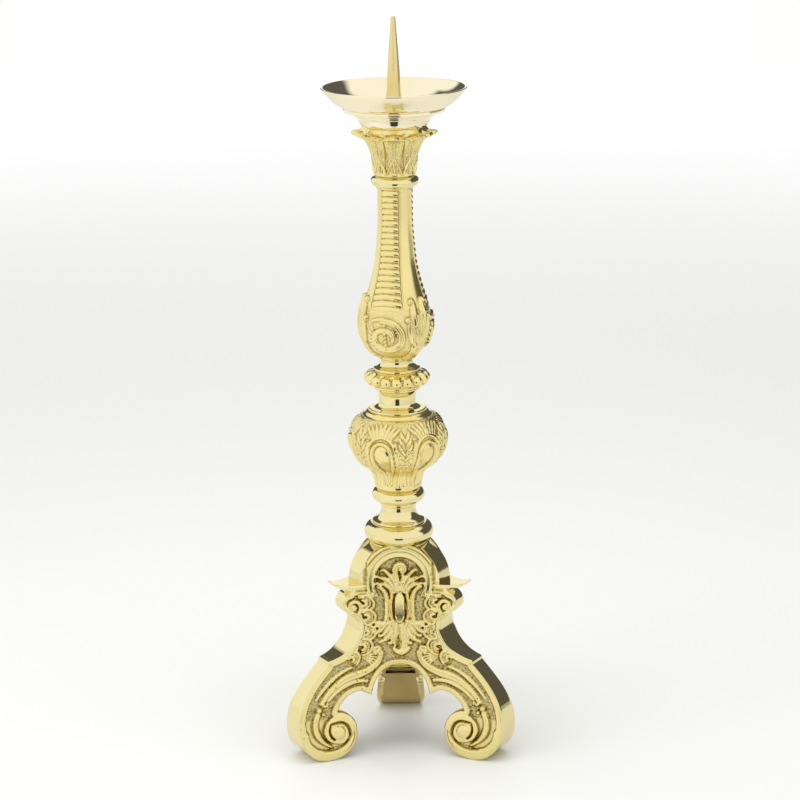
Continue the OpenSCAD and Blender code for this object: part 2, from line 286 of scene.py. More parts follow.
def buildHandPolish():  # cloudy wipes, fine scratches and a tooth, as a roughness, a mask and a height
    tree, given, result = newGroup("handPolish",
                                   {"Scale": 1.0, "Roughness": 0.12, "Spread": 0.08, "Bump": 0.05},
                                   ("Roughness", "Cloud", "Height"))
    place = addNode(tree, "TexCoord").outputs["Object"]
    place = addNode(tree, "VectorMath", {0: place, "Scale": given["Scale"]}, operation="SCALE").outputs[0]
    clouds = addNode(tree, "TexNoise", {"Vector": place, "Scale": 38, "Detail": 5}).outputs["Fac"]
    tooth = addNode(tree, "TexNoise", {"Vector": place, "Scale": 900, "Detail": 3}).outputs["Fac"]
    waves = {"Vector": place, "Scale": 620, "Distortion": 7, "Detail": 3, "Detail Scale": 0.6}
    scratches = addNode(tree, "TexWave", waves, bands_direction="Z").outputs["Fac"]
    roughness = calculate(tree, "MULTIPLY_ADD", clouds, given["Spread"], given["Roughness"])
    height = calculate(tree, "MULTIPLY", calculate(tree, "ADD", tooth, scratches), given["Bump"])
    for label, source in (("Roughness", roughness), ("Cloud", clouds), ("Height", height)):
        tree.links.new(source, result[label])
    return tree


def buildPunchedGround():  # the dimples of a matting punch, as a height from 0 to 1
    tree, given, result = newGroup("punchedGround", {"Pitch": 1100.0, "Mask": 0.0}, ("Height",))
    place = addNode(tree, "TexCoord").outputs["Object"]
    cells = addNode(tree, "TexVoronoi", {"Vector": place, "Scale": given["Pitch"]}).outputs["Distance"]
    dimples = ramp(tree, cells, 0.1, 0.5, kind="LINEAR")
    tree.links.new(calculate(tree, "MULTIPLY", dimples, given["Mask"]), result["Height"])
    return tree


def buildCastingPits():  # the few small pits that a sand casting keeps, as a mask
    tree, given, result = newGroup("castingPits", {"Pitch": 330.0, "Size": 0.16}, ("Mask",))
    place = addNode(tree, "TexCoord").outputs["Object"]
    cells = addNode(tree, "TexVoronoi", {"Vector": place, "Scale": given["Pitch"]}).outputs["Distance"]
    patches = addNode(tree, "TexNoise", {"Vector": place, "Scale": 55}).outputs["Fac"]
    size = calculate(tree, "MULTIPLY", ramp(tree, patches, 0.50, 0.62, kind="LINEAR"), given["Size"])
    tree.links.new(calculate(tree, "LESS_THAN", cells, size), result["Mask"])
    return tree


def metal(name, look):  # hand-polished metal; a look with a dark colour also reads the relief's masks, and mixes that colour into the hollows as painted shade
    material = bpy.data.materials.new(name)
    material.use_nodes = True
    tree = material.node_tree
    shader = tree.nodes["Principled BSDF"]
    shader.inputs["Metallic"].default_value = 1.0
    polish = {"Scale": look["scale"], "Roughness": look["roughness"], "Spread": look["spread"],
              "Bump": look["bump"]}
    wear = addNode(tree, "Group", polish, node_tree=handPolish).outputs
    colour = mixColours(tree, wear["Cloud"], (*look["light"], 1), (*look["warm"], 1))
    roughness, height = wear["Roughness"], wear["Height"]
    if "dark" in look:
        hollow, shine, matted = (addNode(tree, "Attribute", attribute_name=label).outputs["Fac"]
                                 for label in ("hollow", "shine", "matted"))
        pits = addNode(tree, "Group", {"Pitch": look["pits"], "Size": look["pitSize"]},
                       node_tree=castingPits)
        # painted shade: the colour goes towards the dark colour in the relief's hollows; the matted ground
        # and the casting pits are darkened with it too
        shade = calculate(tree, "MULTIPLY_ADD", matted, look["groundDark"], hollow, clamp=True)
        shade = calculate(tree, "MAXIMUM", shade, pits.outputs["Mask"])
        colour = mixColours(tree, shade, colour, (*look["dark"], 1))
        roughness = calculate(tree, "MULTIPLY_ADD", shine, -look["gloss"], roughness)
        dots = addNode(tree, "Group", {"Pitch": look["pitch"], "Mask": matted}, node_tree=punchedGround)
        height = calculate(tree, "ADD", dots.outputs["Height"], height)
    bump = addNode(tree, "Bump", {"Height": height, "Distance": look["depth"], "Strength": 1.0})
    for label, source in (("Base Color", colour), ("Roughness", roughness),
                          ("Normal", bump.outputs["Normal"])):
        tree.links.new(source, shader.inputs[label])
    return material


finish = {  # light and warm are the two colours that the wipes mix, dark is the painted shade mixed into the relief's hollows, and it also darkens the matted ground and the casting pits
    "polished": {"scale": 1.0, "roughness": 0.035, "spread": 0.07, "bump": 0.10, "depth": 0.00005,
                 "light": (0.86, 0.765, 0.44), "warm": (0.80, 0.69, 0.31)},
    "pan": {"scale": 1.0, "roughness": 0.03, "spread": 0.06, "bump": 0.10, "depth": 0.00005,
            "light": (0.94, 0.865, 0.66), "warm": (0.89, 0.79, 0.54)},
    "spike": {"scale": 1.0, "roughness": 0.16, "spread": 0.12, "bump": 0.25, "depth": 0.00008,
              "light": (0.84, 0.715, 0.37), "warm": (0.74, 0.60, 0.25)},
    "cast": {"scale": 1.6, "roughness": 0.24, "spread": 0.22, "bump": 0.5, "depth": 0.0003,
             "light": (0.74, 0.59, 0.27), "warm": (0.52, 0.39, 0.15)},
    "chased": {"scale": 1.3, "roughness": 0.13, "spread": 0.14, "bump": 0.03, "depth": 0.0003,
               "light": (0.84, 0.73, 0.36), "warm": (0.78, 0.66, 0.28), "dark": (0.21, 0.155, 0.05),
               "pitch": 760.0, "groundDark": 0.42, "pits": 330.0, "pitSize": 0.19, "gloss": 0.13},
    "stem": {"scale": 1.3, "roughness": 0.12, "spread": 0.12, "bump": 0.025, "depth": 0.00025,
             "light": (0.88, 0.755, 0.37), "warm": (0.82, 0.69, 0.28), "dark": (0.46, 0.35, 0.12),
             "pitch": 900.0, "groundDark": 0.10, "pits": 360.0, "pitSize": 0.10, "gloss": 0.11},
    "steel": {"scale": 1.0, "roughness": 0.28, "spread": 0.2, "bump": 0.3, "depth": 0.0001,
              "light": (0.60, 0.61, 0.64), "warm": (0.44, 0.45, 0.47)},
}
handPolish, punchedGround, castingPits = buildHandPolish(), buildPunchedGround(), buildCastingPits()
polishedBrass = metal("polishedBrass", finish["polished"])
chasedBrass = metal("chasedBrass", finish["chased"])
stemBrass = metal("stemBrass", finish["stem"])
castBrass = metal("castBrass", finish["cast"])
panBrass = metal("panBrass", finish["pan"])
spikeBrass = metal("spikeBrass", finish["spike"])
platedSteel = metal("platedSteel", finish["steel"])
print("finishes ready")


# the drip pan, its collar and the spike, as (radius, height)
panSettings = {"softness": 0.3, "turns": 160}

spikeLine = ([(3.5, 487), (7, 487)] + curve((7, 488), (6.4, 489.6), (5.2, 493), (4.8, 499))
             + curve((4.7, 502), (4.2, 519), (2.6, 534), (1.7, 548.6)) + [(1.02, 549.7), (0.3, 550)])
spikeRing = tidyLine([(0.02, 487.1)] + softened(spikeLine, 0.3) + [(0.02, 550)])


def turnedSolid(name, ring, material, turns=96, **kept):  # a turned piece that is closed on the axis
    angles = np.linspace(0, 2 * math.pi, turns, endpoint=False)
    points = [(r * math.cos(a), r * math.sin(a), z) for r, z in ring[1:-1] for a in angles]
    rows = len(ring) - 2
    faces = gridFaces(rows, turns, closeColumns=True)
    low, high = len(points), len(points) + 1
    points += [(0, 0, ring[0][1]), (0, 0, ring[-1][1])]
    for j in range(turns):
        after = (j + 1) % turns
        faces.append((low, after, j))
        faces.append((high, (rows - 1) * turns + j, (rows - 1) * turns + after))
    return addPiece(name, points, faces, material, **kept)


turnedSolid("pricketSpike", spikeRing, spikeBrass, replaces=("pricket",), slot="polished_brass")

panUnder = ([(8.1, 485.4), (36, 485.4)] + curve((37.2, 485.4), (43, 487.5), (47.75, 492.5), (52.55, 498.9),
                                                16)
            + [(52.75, 499.6), (52.25, 500)])
panInside = curve((51.15, 499.8), (46.25, 494), (41.5, 488.6), (34, 487), 16) + [(8.1, 487)]
lathe("dripPan", panUnder + panInside, 0, panBrass, turns=panSettings["turns"],
      soften=panSettings["softness"], bore=8.1, replaces=("drip_pan",), slot="polished_brass")

collarLine = ([(22.5, 0)] + curve((23.6, 0.2), (25.6, 1.6), (26.3, 3.6), (26.3, 6))
              + [(26.3, 6.6), (28.8, 6.9), (29.4, 7.6), (29.4, 8.8)]
              + curve((30.2, 9), (32.4, 9.6), (35, 10.2), (36.9, 10.9)) + [(37.2, 11.3), (37.2, 13),
                                                                           (36.8, 13.4)])
lathe("panCollar", collarLine, 472, panBrass, replaces=("pan_collar",), slot="polished_brass")
print("pan and spike ready")


# plain turned pieces of the stem, as (radius, height above the piece's foot)
neckLine = [(13.4, 0), (14.2, 1.1)] + arc(13.5, 5, 3.9, -85, 85, 14) + [(14.2, 8.9), (15.4, 10)]
upperSpoolLine = ([(16.4, 0), (17.1, 0.6), (17.1, 1.8)] + curve((16, 2.4), (13.4, 3), (12, 4.6), (12, 6))
                  + [(12, 7.6), (12.9, 9)])
lowerSpoolLine = ([(20.8, 0), (21.5, 0.5), (21.5, 1.7)] + curve((20, 2.1), (16, 2.3), (13.6, 4), (13.6, 6))
                  + curve((13.6, 8.5), (13.6, 12), (14.8, 15), (17, 16.6)) + [(17.2, 17.5)])
vaseRingLine = [(13.6, 0), (15, 0.9)] + arc(14.8, 6, 5, -85, 85, 16) + [(15.6, 11.2), (17, 12)]
footSpoolLine = ([(18.9, 0), (19.4, 0.4), (19.4, 1.5)] + curve((18.4, 2), (15, 3), (12.7, 7), (12.7, 11.8))
                 + [(12.7, 13), (13.6, 13.5), (13.6, 15.3)])
torusLine = arc(19, 7.1, 7.1, -88, 88, 22)
bossLine = ([(12, 0), (12, 4.4), (14.6, 5)] + curve((15, 5.4), (16, 8.4), (19, 11.4),
                                                    (22, 12.5)) + [(22, 13.5)])
plainPieces = (("neckRing", neckLine, 427, "neck_ring"), ("upperSpool", upperSpoolLine, 291, "upper_spool"),
               ("lowerSpool", lowerSpoolLine, 260.5, "lower_spool"),
               ("vaseRing", vaseRingLine, 189, "vase_ring"),
               ("footSpool", footSpoolLine, 173.7, "foot_spool"),
               ("torusCollar", torusLine, 159.5, "torus_collar"),
               ("baseBoss", bossLine, 146, "base_boss"))
for pieceName, line, low, node in plainPieces:
    lathe(pieceName, line, low, polishedBrass, replaces=(node,), slot="polished_brass")
print("plain turnings ready")


def hollowShadeOf(height, depth, rounds=10):  # how deep a point lies below what is round it, from 0 to 1, kept as painted shade for the hollows
    return np.clip((blurred(height, rounds) - height) / depth, 0, 1)


def chasedTurning(name, outline, low, columns, rows, repeat, draw, node, fade=1.2, bore=3.5, start=0.0,
                  warp=None):
    # a turned piece whose relief is drawn once on a sector and repeated round it
    line = resampled(softened(outline, 0.3), 0.2)
    lengths = np.concatenate([[0], np.cumsum(np.hypot(*np.diff(line, axis=0).T))])
    along = np.linspace(0, lengths[-1], rows)
    radius = np.interp(along, lengths, line[:, 0])
    height = np.interp(along, lengths, line[:, 1])
    sector = columns // repeat
    angle = (np.arange(sector) + 0.5) / sector * 2 * math.pi / repeat - math.pi / repeat
    across = angle[None, :] * radius[:, None]
    up = np.repeat(along[:, None], sector, 1)
    sheet = Relief(across, up, 0.0)
    sheet.angle = np.degrees(np.repeat(angle[None, :], rows, 0))
    sheet.z = np.repeat(height[:, None], sector, 1)
    sheet.r = np.repeat(radius[:, None], sector, 1)
    matted = draw(sheet)
    edge = smooth(0, fade, along)[:, None] * smooth(0, fade, lengths[-1] - along)[:, None]
    relief = np.tile(sheet.h * edge, (1, repeat))
    shine = np.tile(sheet.shine, (1, repeat))
    matted = np.tile(matted * edge, (1, repeat))
    tangentR, tangentZ = np.gradient(radius), np.gradient(height)
    size = np.hypot(tangentR, tangentZ)
    outR, outZ = (tangentZ / size)[:, None], (-tangentR / size)[:, None]
    turn = np.arange(sector * repeat) / (sector * repeat) * 2 * math.pi + math.radians(start)
    r = radius[:, None] + outR * relief
    z = height[:, None] + outZ * relief + low
    if warp:
        pull, drop = warp(sheet)
        r, z = r - np.tile(pull, (1, repeat)), z - np.tile(drop, (1, repeat))
    points = np.stack([r * np.cos(turn), r * np.sin(turn), z], -1).reshape(-1, 3)
    count = sector * repeat
    caps = []
    for capHeight in (low + height[-1], low + height[0]):
        caps.append(np.stack([bore * np.cos(turn), bore * np.sin(turn), np.full(count, capHeight)], -1))
    points = np.concatenate([points] + caps)
    faces = gridFaces(rows + 2, count, closeRows=True, closeColumns=True)
    # painted shade for the hollows, which the metal mixes into the colour
    hollow = hollowShadeOf(np.tile(sheet.h, (1, repeat)), 0.55)
    zero = np.zeros(2 * count)
    values = {"hollow": np.concatenate([hollow.ravel(), zero]),
              "shine": np.concatenate([shine.ravel(), zero]),
              "matted": np.concatenate([matted.ravel(), zero])}
    return addPiece(name, points, faces, stemBrass, replaces=(node,), slot="chased_brass", sharp=180,
                    values=values)


balusterSettings = {"columns": 396, "rows": 240, "start": -169.0, "bandHalf": 31.5, "ribPitch": 4.35,
                    "ribHeight": 1.25}
balusterLine = ([(12.9, 0), (13.3, 1.2)] + curve((14.1, 2.6), (18.6, 4.6), (21.6, 8), (23.2, 12))
                + curve((24.2, 15), (26.8, 20.5), (27.3, 29), (26.3, 34))
                + curve((25.4, 38), (21.4, 48.6), (17.5, 60), (15.4, 73.5), 14)
                + curve((15, 76.5), (13.9, 88), (12.9, 97), (12.9, 107)) + [(12.9, 125), (13.5, 127)])


def drawBaluster(sheet):
    x, z = sheet.x, sheet.z
    half = np.radians(balusterSettings["bandHalf"]) * sheet.r
    inBand = (np.abs(x) < half) & (z > 34)
    wave = (z + 0.012 * x * x) / balusterSettings["ribPitch"]
    rib = np.sqrt(np.clip(1 - np.abs((2 * (wave % 1) - 1) / 0.86) ** 2, 0, 1))
    side = smooth(0, 0.9, half - np.abs(x))
    sheet.h = np.where(inBand, -1.15 + (balusterSettings["ribHeight"] * rib + 0.1) * side, 0)
    sheet.shine = np.where(inBand, 0.9 * rib, 0.0)
    lip = np.exp(-((np.abs(x) - half - 0.9) / 0.4) ** 2)
    sheet.h = np.where(z > 34, sheet.h - 0.6 * lip, sheet.h)
    bulb = smooth(44, 40, z)
    sheet.h = np.where(z < 44, sheet.h * (1 - bulb) - 0.7 * bulb, sheet.h)
    sheet.shine = np.where(z < 42, 0.1, sheet.shine)
    centre = 24.5
    for startRadius, endRadius, fromAngle, turnBy, wide, tall in (
            (19.5, 6.4, 128, -520, 2.3, 2.5), (15.8, 5.4, 100, -470, 1.5, 2.0)):
        t = np.linspace(0, 1, 60)
        winding = startRadius * (endRadius / startRadius) ** t
        angle = np.radians(fromAngle + turnBy * t)
        sheet.ridge(np.stack([0.92 * winding * np.cos(angle), centre + 0.8 * winding * np.sin(angle)], 1),
                    (1.1, wide, 1.1), (1.5, tall, 1.7), base=-0.7, shine=0.8)
    for i in range(12):
        lean = math.radians(150 + 17 * i)
        sheet.ridge([(10.5 * math.cos(lean), centre + 9.5 * math.sin(lean)),
                     (15.2 * math.cos(lean - 0.2), centre + 13.0 * math.sin(lean - 0.2))], (0.7, 1.2, 0.8),
                    (1.1, 1.8, 1.2), base=-0.7, shine=0.6)
    for i in range(7):
        sheet.bead(0, centre - 8.5 + 3.1 * i, 1.35, 2.6, base=-0.6, shine=1.0)
    for side in (-1, 1):
        for k in range(3):
            sheet.ridge(curve((side * (10 + 2.8 * k), 2.5), (side * (13 + 2.8 * k), 4 + k),
                              (side * (18 + 1.8 * k), 7 + 2 * k), (side * (19.4 + 1.4 * k), 12 + 5 * k), 9),
                        (1.5, 2.6, 1.2), (1.6, 2.3, 2.3), base=-0.7, shine=0.7, veins=1)
        sheet.ridge(sided(side, (27.5, 3), (24.5, 14), (28.2, 26), (25.2, 40), 14), (2.2, 4.2, 2.6),
                    (1.8, 3.0, 2.4), base=-0.7, shine=0.8, veins=2)
        sheet.ridge(sided(side, (20.6, 20), (20, 27), (21.4, 33), (19.4, 38.6), 10),
                    (1.6, 3.0, 1.8), (1.7, 2.6, 2.2), base=-0.7, shine=0.8, veins=1)
        sheet.ridge(sided(side, (24.6, 34), (21.6, 42), (21.8, 50), (18.2, 52.6), 12),
                    (1.9, 3.0, 1.6), (2.0, 2.9, 2.6), base=-0.6, shine=0.9, veins=1)
        sheet.bead(side * 18.2, 51.8, 2.5, 3.4, base=-0.6)
        sheet.bead(side * 17.6, 38.4, 2.3, 3.0, base=-0.7)
        sheet.scroll(side * 25, 14, 3.8, 1.4, 180 if side > 0 else 0, side * -300, (1.8, 1.9, 1.2),
                     (1.8, 2.5, 2.2), base=-0.7, eye=1.6, shine=0.9)
    ground = (np.abs(sheet.h + 0.7) < 0.15) & (z < 42)
    return blurred(ground.astype(float), 2) * 0.8


chasedTurning("balusterStem", balusterLine, 300, balusterSettings["columns"], balusterSettings["rows"], 3,
              drawBaluster, "baluster_stem", start=balusterSettings["start"])

gadroonLine = ([(17.2, 0), (18, 0.8), (18, 1.9)] + curve((19.4, 2.1), (23, 3), (24.6, 5), (24.6, 7.5))
               + curve((24.6, 8), (24.2, 10.4), (21, 12), (17.4, 12.6)) + [(16.6, 13)])


def drawGadroons(sheet):
    body = smooth(2.0, 3.6, sheet.z) * smooth(12.7, 11.4, sheet.z)
    wave = np.abs(np.cos(np.radians(sheet.angle) * 8))
    sheet.h = body * (-3.2 + 3.2 * np.clip(wave, 0, 1) ** 0.6)
    sheet.shine = np.full(wave.shape, 1.0)
    return np.zeros(sheet.h.shape)


chasedTurning("gadroonRing", gadroonLine, 278, 384, 70, 2, drawGadroons, "gadroon_ring", fade=0.5)

vaseLine = ([(17, 0), (17.6, 1), (17.6, 2.4)] + curve((17.6, 4), (18, 9), (18.8, 12.4), (21.6, 15.4))
            + curve((22.6, 16.4), (28, 20.4), (33.4, 25.4), (35, 32.6))
            + curve((35.6, 35.6), (36.5, 43), (33.4, 50.4), (28.6, 55.4)) + [(26.5, 57), (24, 58.2),
                                                                             (21.6, 59.5)])


def drawVase(sheet):
    x, z, y = sheet.x, sheet.z, sheet.y
    body = smooth(3, 4.5, z) * smooth(59, 57.5, z)
    sheet.h = -0.9 * body
    low = y[np.abs(z[:, 0] - 15).argmin(), 0]
    middle = y[np.abs(z[:, 0] - 33).argmin(), 0]
    high = y[np.abs(z[:, 0] - 52).argmin(), 0]
    flute = np.sqrt(np.abs(np.cos(np.radians(sheet.angle) * 15)))
    under = smooth(3.0, 4.0, z) * smooth(18, 14, z)
    sheet.h = np.where(z < 17, np.maximum(sheet.h, body * (-0.9 + 0.8 * under * flute)), sheet.h)
    sheet.shine = np.where(z < 16, 0.7 * flute, 0.2)
    q = np.hypot(x / 7.0, (y - middle + 1.5) / 8.4)
    sheet.raiseTo(np.nonzero(q < 1), (-0.9 + 1.5 * np.sqrt(np.clip(1 - q[q < 1] ** 2, 0, 1))), 1.0)
    for side in (-1, 1):
        for k in range(5):
            start = (side * (7.6 + 0.5 * k), low + 5 + 4.6 * k)
            end = (side * (14.6 - 0.4 * abs(k - 1) - 1.3 * max(0, k - 2)), low + 11 + 5.6 * k)
            sheet.ridge(curve(start, (start[0] + side * 2.5, start[1] + 0.5),
                              (end[0] - side * 0.6, end[1] - 5), end, 8),
                        (1.3, 2.2, 0.9), (1.5, 2.3, 2.2), base=-0.9, shine=0.6, crease=0.25)
            sheet.bead(end[0], end[1], 1.0, 2.9, base=-0.9, shine=0.9)
        sheet.ridge(sided(side, (4.2, low - 11), (4.4, low - 2), (12.5, low + 9), (11, middle + 1), 14)
                    + sided(side, (10.8, middle + 3), (10, middle + 9), (6, middle + 13),
                            (0.6, middle + 13.5), 10),
                    (0.9, 1.6, 1.0), (1.3, 2.4, 1.8), base=-0.9, shine=0.7, crease=0.1)
        sheet.ridge(sided(side, (1.2, low - 10), (1.6, low - 1), (8.2, low + 8), (7.8, middle - 1), 14)
                    + curve((side * 7.7, middle), (side * 7.4, middle + 6.5), (side * 3.4, middle + 9),
                            (0, middle + 9), 10),
                    (0.9, 1.5, 1.4), (1.4, 2.7, 2.5), base=-0.9, shine=0.95)
        for k in range(4):
            foot = (side * (1.0 + 2.0 * k), middle + 13.5 - 0.8 * k)
            tip = (side * (2.2 + 3.6 * k), high + 4.5 - 1.0 * k)
            sheet.ridge(curve(foot, (foot[0], foot[1] + 3), (tip[0] - side * 1.2, tip[1] - 3), tip, 7),
                        (1.1, 1.7, 0.8), (1.4, 2.2, 1.4), base=-0.9, shine=0.5, crease=0.3)
        edgeX = side * 17.6
        for k in range(7):
            rise = low + 3 + 5.2 * k
            sheet.ridge(curve((edgeX, rise), (edgeX - side * 1.0, rise + 3), (edgeX - side * 3.4, rise + 5),
                              (edgeX - side * 3.8, rise + 7.5), 6), (0.9, 1.5, 0.7), (1.3, 1.9, 1.3),
                        base=-0.9,
                        shine=0.5, crease=0.2)
        for k in range(9):
            sheet.bead(side * (17.8 - 0.5 * max(0, k - 6)), low - 8 + 3.0 * k, 1.15, 2.0, base=-0.8)
    ground = (np.abs(sheet.h + 0.9) < 0.15) & (z > 16) & (z < 57)
    return blurred(ground.astype(float), 2)


chasedTurning("vaseKnop", vaseLine, 201, 396, 190, 6, drawVase, "vase_knop", start=-80)

capitalLine = ([(15.5, 0), (15.6, 3)] + curve((15.6, 4), (16, 12), (17.6, 19), (20.5, 23.5))
               + curve((21.5, 24.6), (24.6, 28), (27.6, 28.4), (30.7, 28.9)) + [(31.6, 30.4), (30, 32),
                                                                                (25, 32.4),
                                                                              (22.5, 35)])


capitalSettings = {"leaves": 8, "pull": 6.4, "drop": 2.6, "lobePull": 1.0}


def leafShare(sheet):  # 0 on the middle of a leaf, 1 between two leaves
    step = 360 / capitalSettings["leaves"]
    return np.abs((sheet.angle + step / 2) % step - step / 2) / (step / 2)


def warpCapital(sheet):
    across = leafShare(sheet)
    rim = smooth(19.5, 30.5, sheet.r)
    lobes = np.abs((across * 1.5 + 0.5) % 1 - 0.5) * 2
    pull = rim * (capitalSettings["pull"] * across + capitalSettings["lobePull"] * lobes)
    return pull, rim * (capitalSettings["drop"] * across ** 0.8 + 0.5 * lobes)


def drawCapital(sheet):
    z, across = sheet.z, leafShare(sheet)
    climb = smooth(0.5, 3, z) * smooth(33, 28, z)
    between = np.exp(-((1 - across) / np.interp(z, (0, 12, 24, 30), (0.30, 0.16, 0.10, 0.12))) ** 2)
    middle = np.exp(-(across / 0.09) ** 2)
    veins = np.cos((across * 3.4 - z * 0.05) * 2 * math.pi)
    sheet.h = climb * (0.25 * veins + 0.75 * middle - 1.7 * between - 0.4)
    for side in (-1, 1):
        sheet.ridge(curve((side * 5.4, 1.5), (side * 4.6, 5), (side * 2.2, 9), (0, 12.5), 8),
                    (0.7, 0.8, 0.4),
                    (1.0, 1.0, 0.6), base=-0.2, shine=0.7)
    sheet.shine += climb * 0.3 * np.clip(veins, 0, 1)
    return climb * 0.8 * (sheet.shine < 0.5)


chasedTurning("leafCapital", capitalLine, 437, 400, 150, 8, drawCapital, "capital", fade=0.6, start=-67.5,
              warp=warpCapital)
print("chased turnings ready")


# the base's panels: one hollow face, part of a cylinder that leans back
faceSettings = {"radius": 150.0, "lean": math.radians(6.4), "axis": -190.2, "thick": 5.0, "spacing": 0.5,
                "ground": -1.9}
archRadius, archHeight, capHeight = 29.0, 133.0, 131.0


def faceY(x, z):
    depth = np.sqrt(np.maximum(faceSettings["radius"] ** 2 - x * x, 1))
    return faceSettings["axis"] + depth / math.cos(faceSettings["lean"]) + z * math.tan(faceSettings["lean"])


def faceNormal(x):
    depth = np.sqrt(np.maximum(faceSettings["radius"] ** 2 - x * x, 1))
    slopeX = -x / (depth * math.cos(faceSettings["lean"]))
    slopeZ = np.full(np.shape(x), math.tan(faceSettings["lean"]))
    size = np.sqrt(slopeX ** 2 + 1 + slopeZ ** 2)
    return slopeX / size, -1 / size, slopeZ / size


def halfWidth(reach, z):  # half a leg's width at a place on its outline, out to the panels' faces
    low, high = np.zeros_like(reach), np.full_like(reach, 75.0)
    for _ in range(40):
        s = (low + high) / 2
        x = -math.cos(math.radians(30)) * reach + 0.5 * s
        y = -0.5 * reach - math.cos(math.radians(30)) * s
        behind = y > faceY(np.clip(x, -140, 140), z)
        low, high = np.where(behind, s, low), np.where(behind, high, s)
    return low


shoulderLine = [(44, capHeight), (44.8, 127.2)] + arc(44, 118, 8, 70, -62, 14)
waistLine = (curve((46.2, 109.4), (38, 105.5), (38.4, 99), (41.6, 93))
             + curve((43, 90.4), (46.6, 83.5), (54, 77.6), (65.6, 75.6)))
shinLine = [(66.4, 74.9)] + curve((66.6, 72.8), (79.5, 61), (92.8, 47), (92.8, 30), 14)
footLine = (curve((92.8, 27), (92.8, 12.5), (84.5, 0), (71, 0), 18) + curve((70.4, 0), (58.2, 0),
                                                                            (48.4, 9.2), (48.4, 21), 16)
            + curve((48.4, 23), (48.4, 30.5), (54, 36.6), (62, 36.8), 8))
legLine = tidyLine(shoulderLine + waistLine + shinLine + footLine)


def onFace(line):  # a leg's outline as the panel's edge, across and up
    line = np.array(line, float)
    s = halfWidth(line[:, 0], line[:, 1])
    return [(-math.cos(math.radians(30)) * r + 0.5 * w, z) for (r, z), w in zip(line, s)]


leftEdge = onFace(resampled(legLine, 1.2)) + [(-45.2, 41.4)]
openHalf = ([(45.2, 41.6)] + curve((45.2, 41.6), (41.8, 47), (37, 51.4), (29, 51.4)) + [(21.8, 47.6)]
            + curve((20.4, 53), (16.5, 66), (9, 70.4), (0, 70.6)))
dip = math.degrees(math.asin((archHeight - capHeight) / archRadius))
panelEdge = tidyLine([(-x, z) for x, z in reversed(leftEdge)] + arc(0, archHeight, archRadius, -dip,
                                                                    180 + dip, 60)
                     + leftEdge + [(-x, z) for x, z in openHalf] + [(x, z) for x, z in reversed(openHalf)],
                     0.05)


def nearestOnEdge(polygon, px, py):
    best = np.full(px.size, 1e9)
    bx, by = px.copy(), py.copy()
    corners = np.array(polygon, float)
    for (ax, ay), (cx, cy) in zip(corners, np.roll(corners, -1, axis=0)):
        dx, dy = cx - ax, cy - ay
        length = dx * dx + dy * dy
        if length < 1e-12:
            continue
        t = np.clip(((px - ax) * dx + (py - ay) * dy) / length, 0, 1)
        qx, qy = ax + t * dx, ay + t * dy
        gap = (px - qx) ** 2 + (py - qy) ** 2
        closer = gap < best
        best = np.where(closer, gap, best)
        bx, by = np.where(closer, qx, bx), np.where(closer, qy, by)
    return bx, by


